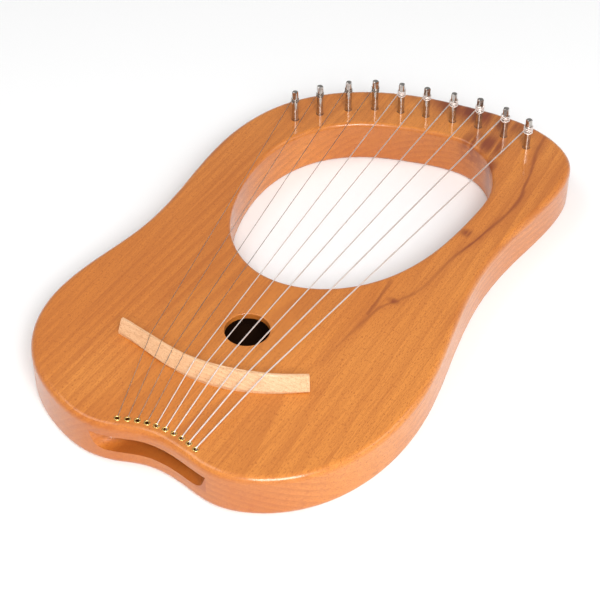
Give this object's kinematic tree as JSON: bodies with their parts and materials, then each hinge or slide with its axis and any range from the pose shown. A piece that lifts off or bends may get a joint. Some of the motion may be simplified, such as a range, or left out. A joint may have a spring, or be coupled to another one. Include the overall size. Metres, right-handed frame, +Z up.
{
  "type": "lyre harp",
  "caption": "Small carved wooden lyre harp with an open string window, round sound hole, bowed bridge and strings wound on turning metal pins.",
  "frame": {"origin": "middle of the flat back: the centre of the body's outline box, at the height of the back", "axes": "+Z up out of the playing face, +Y from the tail with the string anchors to the shoulder with the tuning pins, +X towards the side of the thick strings"},
  "size_m": [0.266, 0.43, 0.0605],
  "materials": {
    "stained_wood": "honey-brown stained hardwood under clear satin lacquer",
    "pale_wood": "pale bare beech, finely sanded",
    "nickel": "polished nickel-plated steel",
    "plain_wire": "bright drawn steel wire",
    "wound_wire": "silvery round-wound steel-core wire",
    "brass": "bright rolled brass"
  },
  "bodies": {
    "lyre_body": {"body": "stained_wood", "back_cover": "stained_wood", "soundboard_brace": "pale_wood", "bridge": "pale_wood", "string_01": "plain_wire", "ferrule_01": "brass", "ball_end_01": "brass", "string_02": "plain_wire", "ferrule_02": "brass", "ball_end_02": "brass", "string_03": "plain_wire", "ferrule_03": "brass", "ball_end_03": "brass", "string_04": "plain_wire", "ferrule_04": "brass", "ball_end_04": "brass", "string_05": "wound_wire", "ferrule_05": "brass", "ball_end_05": "brass", "string_06": "wound_wire", "ferrule_06": "brass", "ball_end_06": "brass", "string_07": "wound_wire", "ferrule_07": "brass", "ball_end_07": "brass", "string_08": "wound_wire", "ferrule_08": "brass", "ball_end_08": "brass", "string_09": "wound_wire", "ferrule_09": "brass", "ball_end_09": "brass", "string_10": "wound_wire", "ferrule_10": "brass", "ball_end_10": "brass"},
    "pin_01": {"tuning_pin_01": "nickel", "string_coil_01": "plain_wire"},
    "pin_02": {"tuning_pin_02": "nickel", "string_coil_02": "plain_wire"},
    "pin_03": {"tuning_pin_03": "nickel", "string_coil_03": "plain_wire"},
    "pin_04": {"tuning_pin_04": "nickel", "string_coil_04": "plain_wire"},
    "pin_05": {"tuning_pin_05": "nickel", "string_coil_05": "wound_wire"},
    "pin_06": {"tuning_pin_06": "nickel", "string_coil_06": "wound_wire"},
    "pin_07": {"tuning_pin_07": "nickel", "string_coil_07": "wound_wire"},
    "pin_08": {"tuning_pin_08": "nickel", "string_coil_08": "wound_wire"},
    "pin_09": {"tuning_pin_09": "nickel", "string_coil_09": "wound_wire"},
    "pin_10": {"tuning_pin_10": "nickel", "string_coil_10": "wound_wire"}
  },
  "joints": [
    {"name": "tune_01", "type": "hinge", "parent": "lyre_body", "child": "pin_01", "pos_m": [-0.088, 0.128, 0.034], "axis": [0, 0, 1], "range_deg": [-90, 990]},
    {"name": "tune_02", "type": "hinge", "parent": "lyre_body", "child": "pin_02", "pos_m": [-0.075, 0.144, 0.034], "axis": [0, 0, 1], "range_deg": [-90, 990]},
    {"name": "tune_03", "type": "hinge", "parent": "lyre_body", "child": "pin_03", "pos_m": [-0.0585, 0.16, 0.034], "axis": [0, 0, 1], "range_deg": [-90, 990]},
    {"name": "tune_04", "type": "hinge", "parent": "lyre_body", "child": "pin_04", "pos_m": [-0.041, 0.1715, 0.034], "axis": [0, 0, 1], "range_deg": [-90, 990]},
    {"name": "tune_05", "type": "hinge", "parent": "lyre_body", "child": "pin_05", "pos_m": [-0.0215, 0.178, 0.034], "axis": [0, 0, 1], "range_deg": [-90, 990]},
    {"name": "tune_06", "type": "hinge", "parent": "lyre_body", "child": "pin_06", "pos_m": [-0.002, 0.183, 0.034], "axis": [0, 0, 1], "range_deg": [-90, 990]},
    {"name": "tune_07", "type": "hinge", "parent": "lyre_body", "child": "pin_07", "pos_m": [0.019, 0.187, 0.034], "axis": [0, 0, 1], "range_deg": [-90, 990]},
    {"name": "tune_08", "type": "hinge", "parent": "lyre_body", "child": "pin_08", "pos_m": [0.0395, 0.1905, 0.034], "axis": [0, 0, 1], "range_deg": [-90, 990]},
    {"name": "tune_09", "type": "hinge", "parent": "lyre_body", "child": "pin_09", "pos_m": [0.0615, 0.1895, 0.034], "axis": [0, 0, 1], "range_deg": [-90, 990]},
    {"name": "tune_10", "type": "hinge", "parent": "lyre_body", "child": "pin_10", "pos_m": [0.0825, 0.185, 0.034], "axis": [0, 0, 1], "range_deg": [-90, 990]}
  ]
}
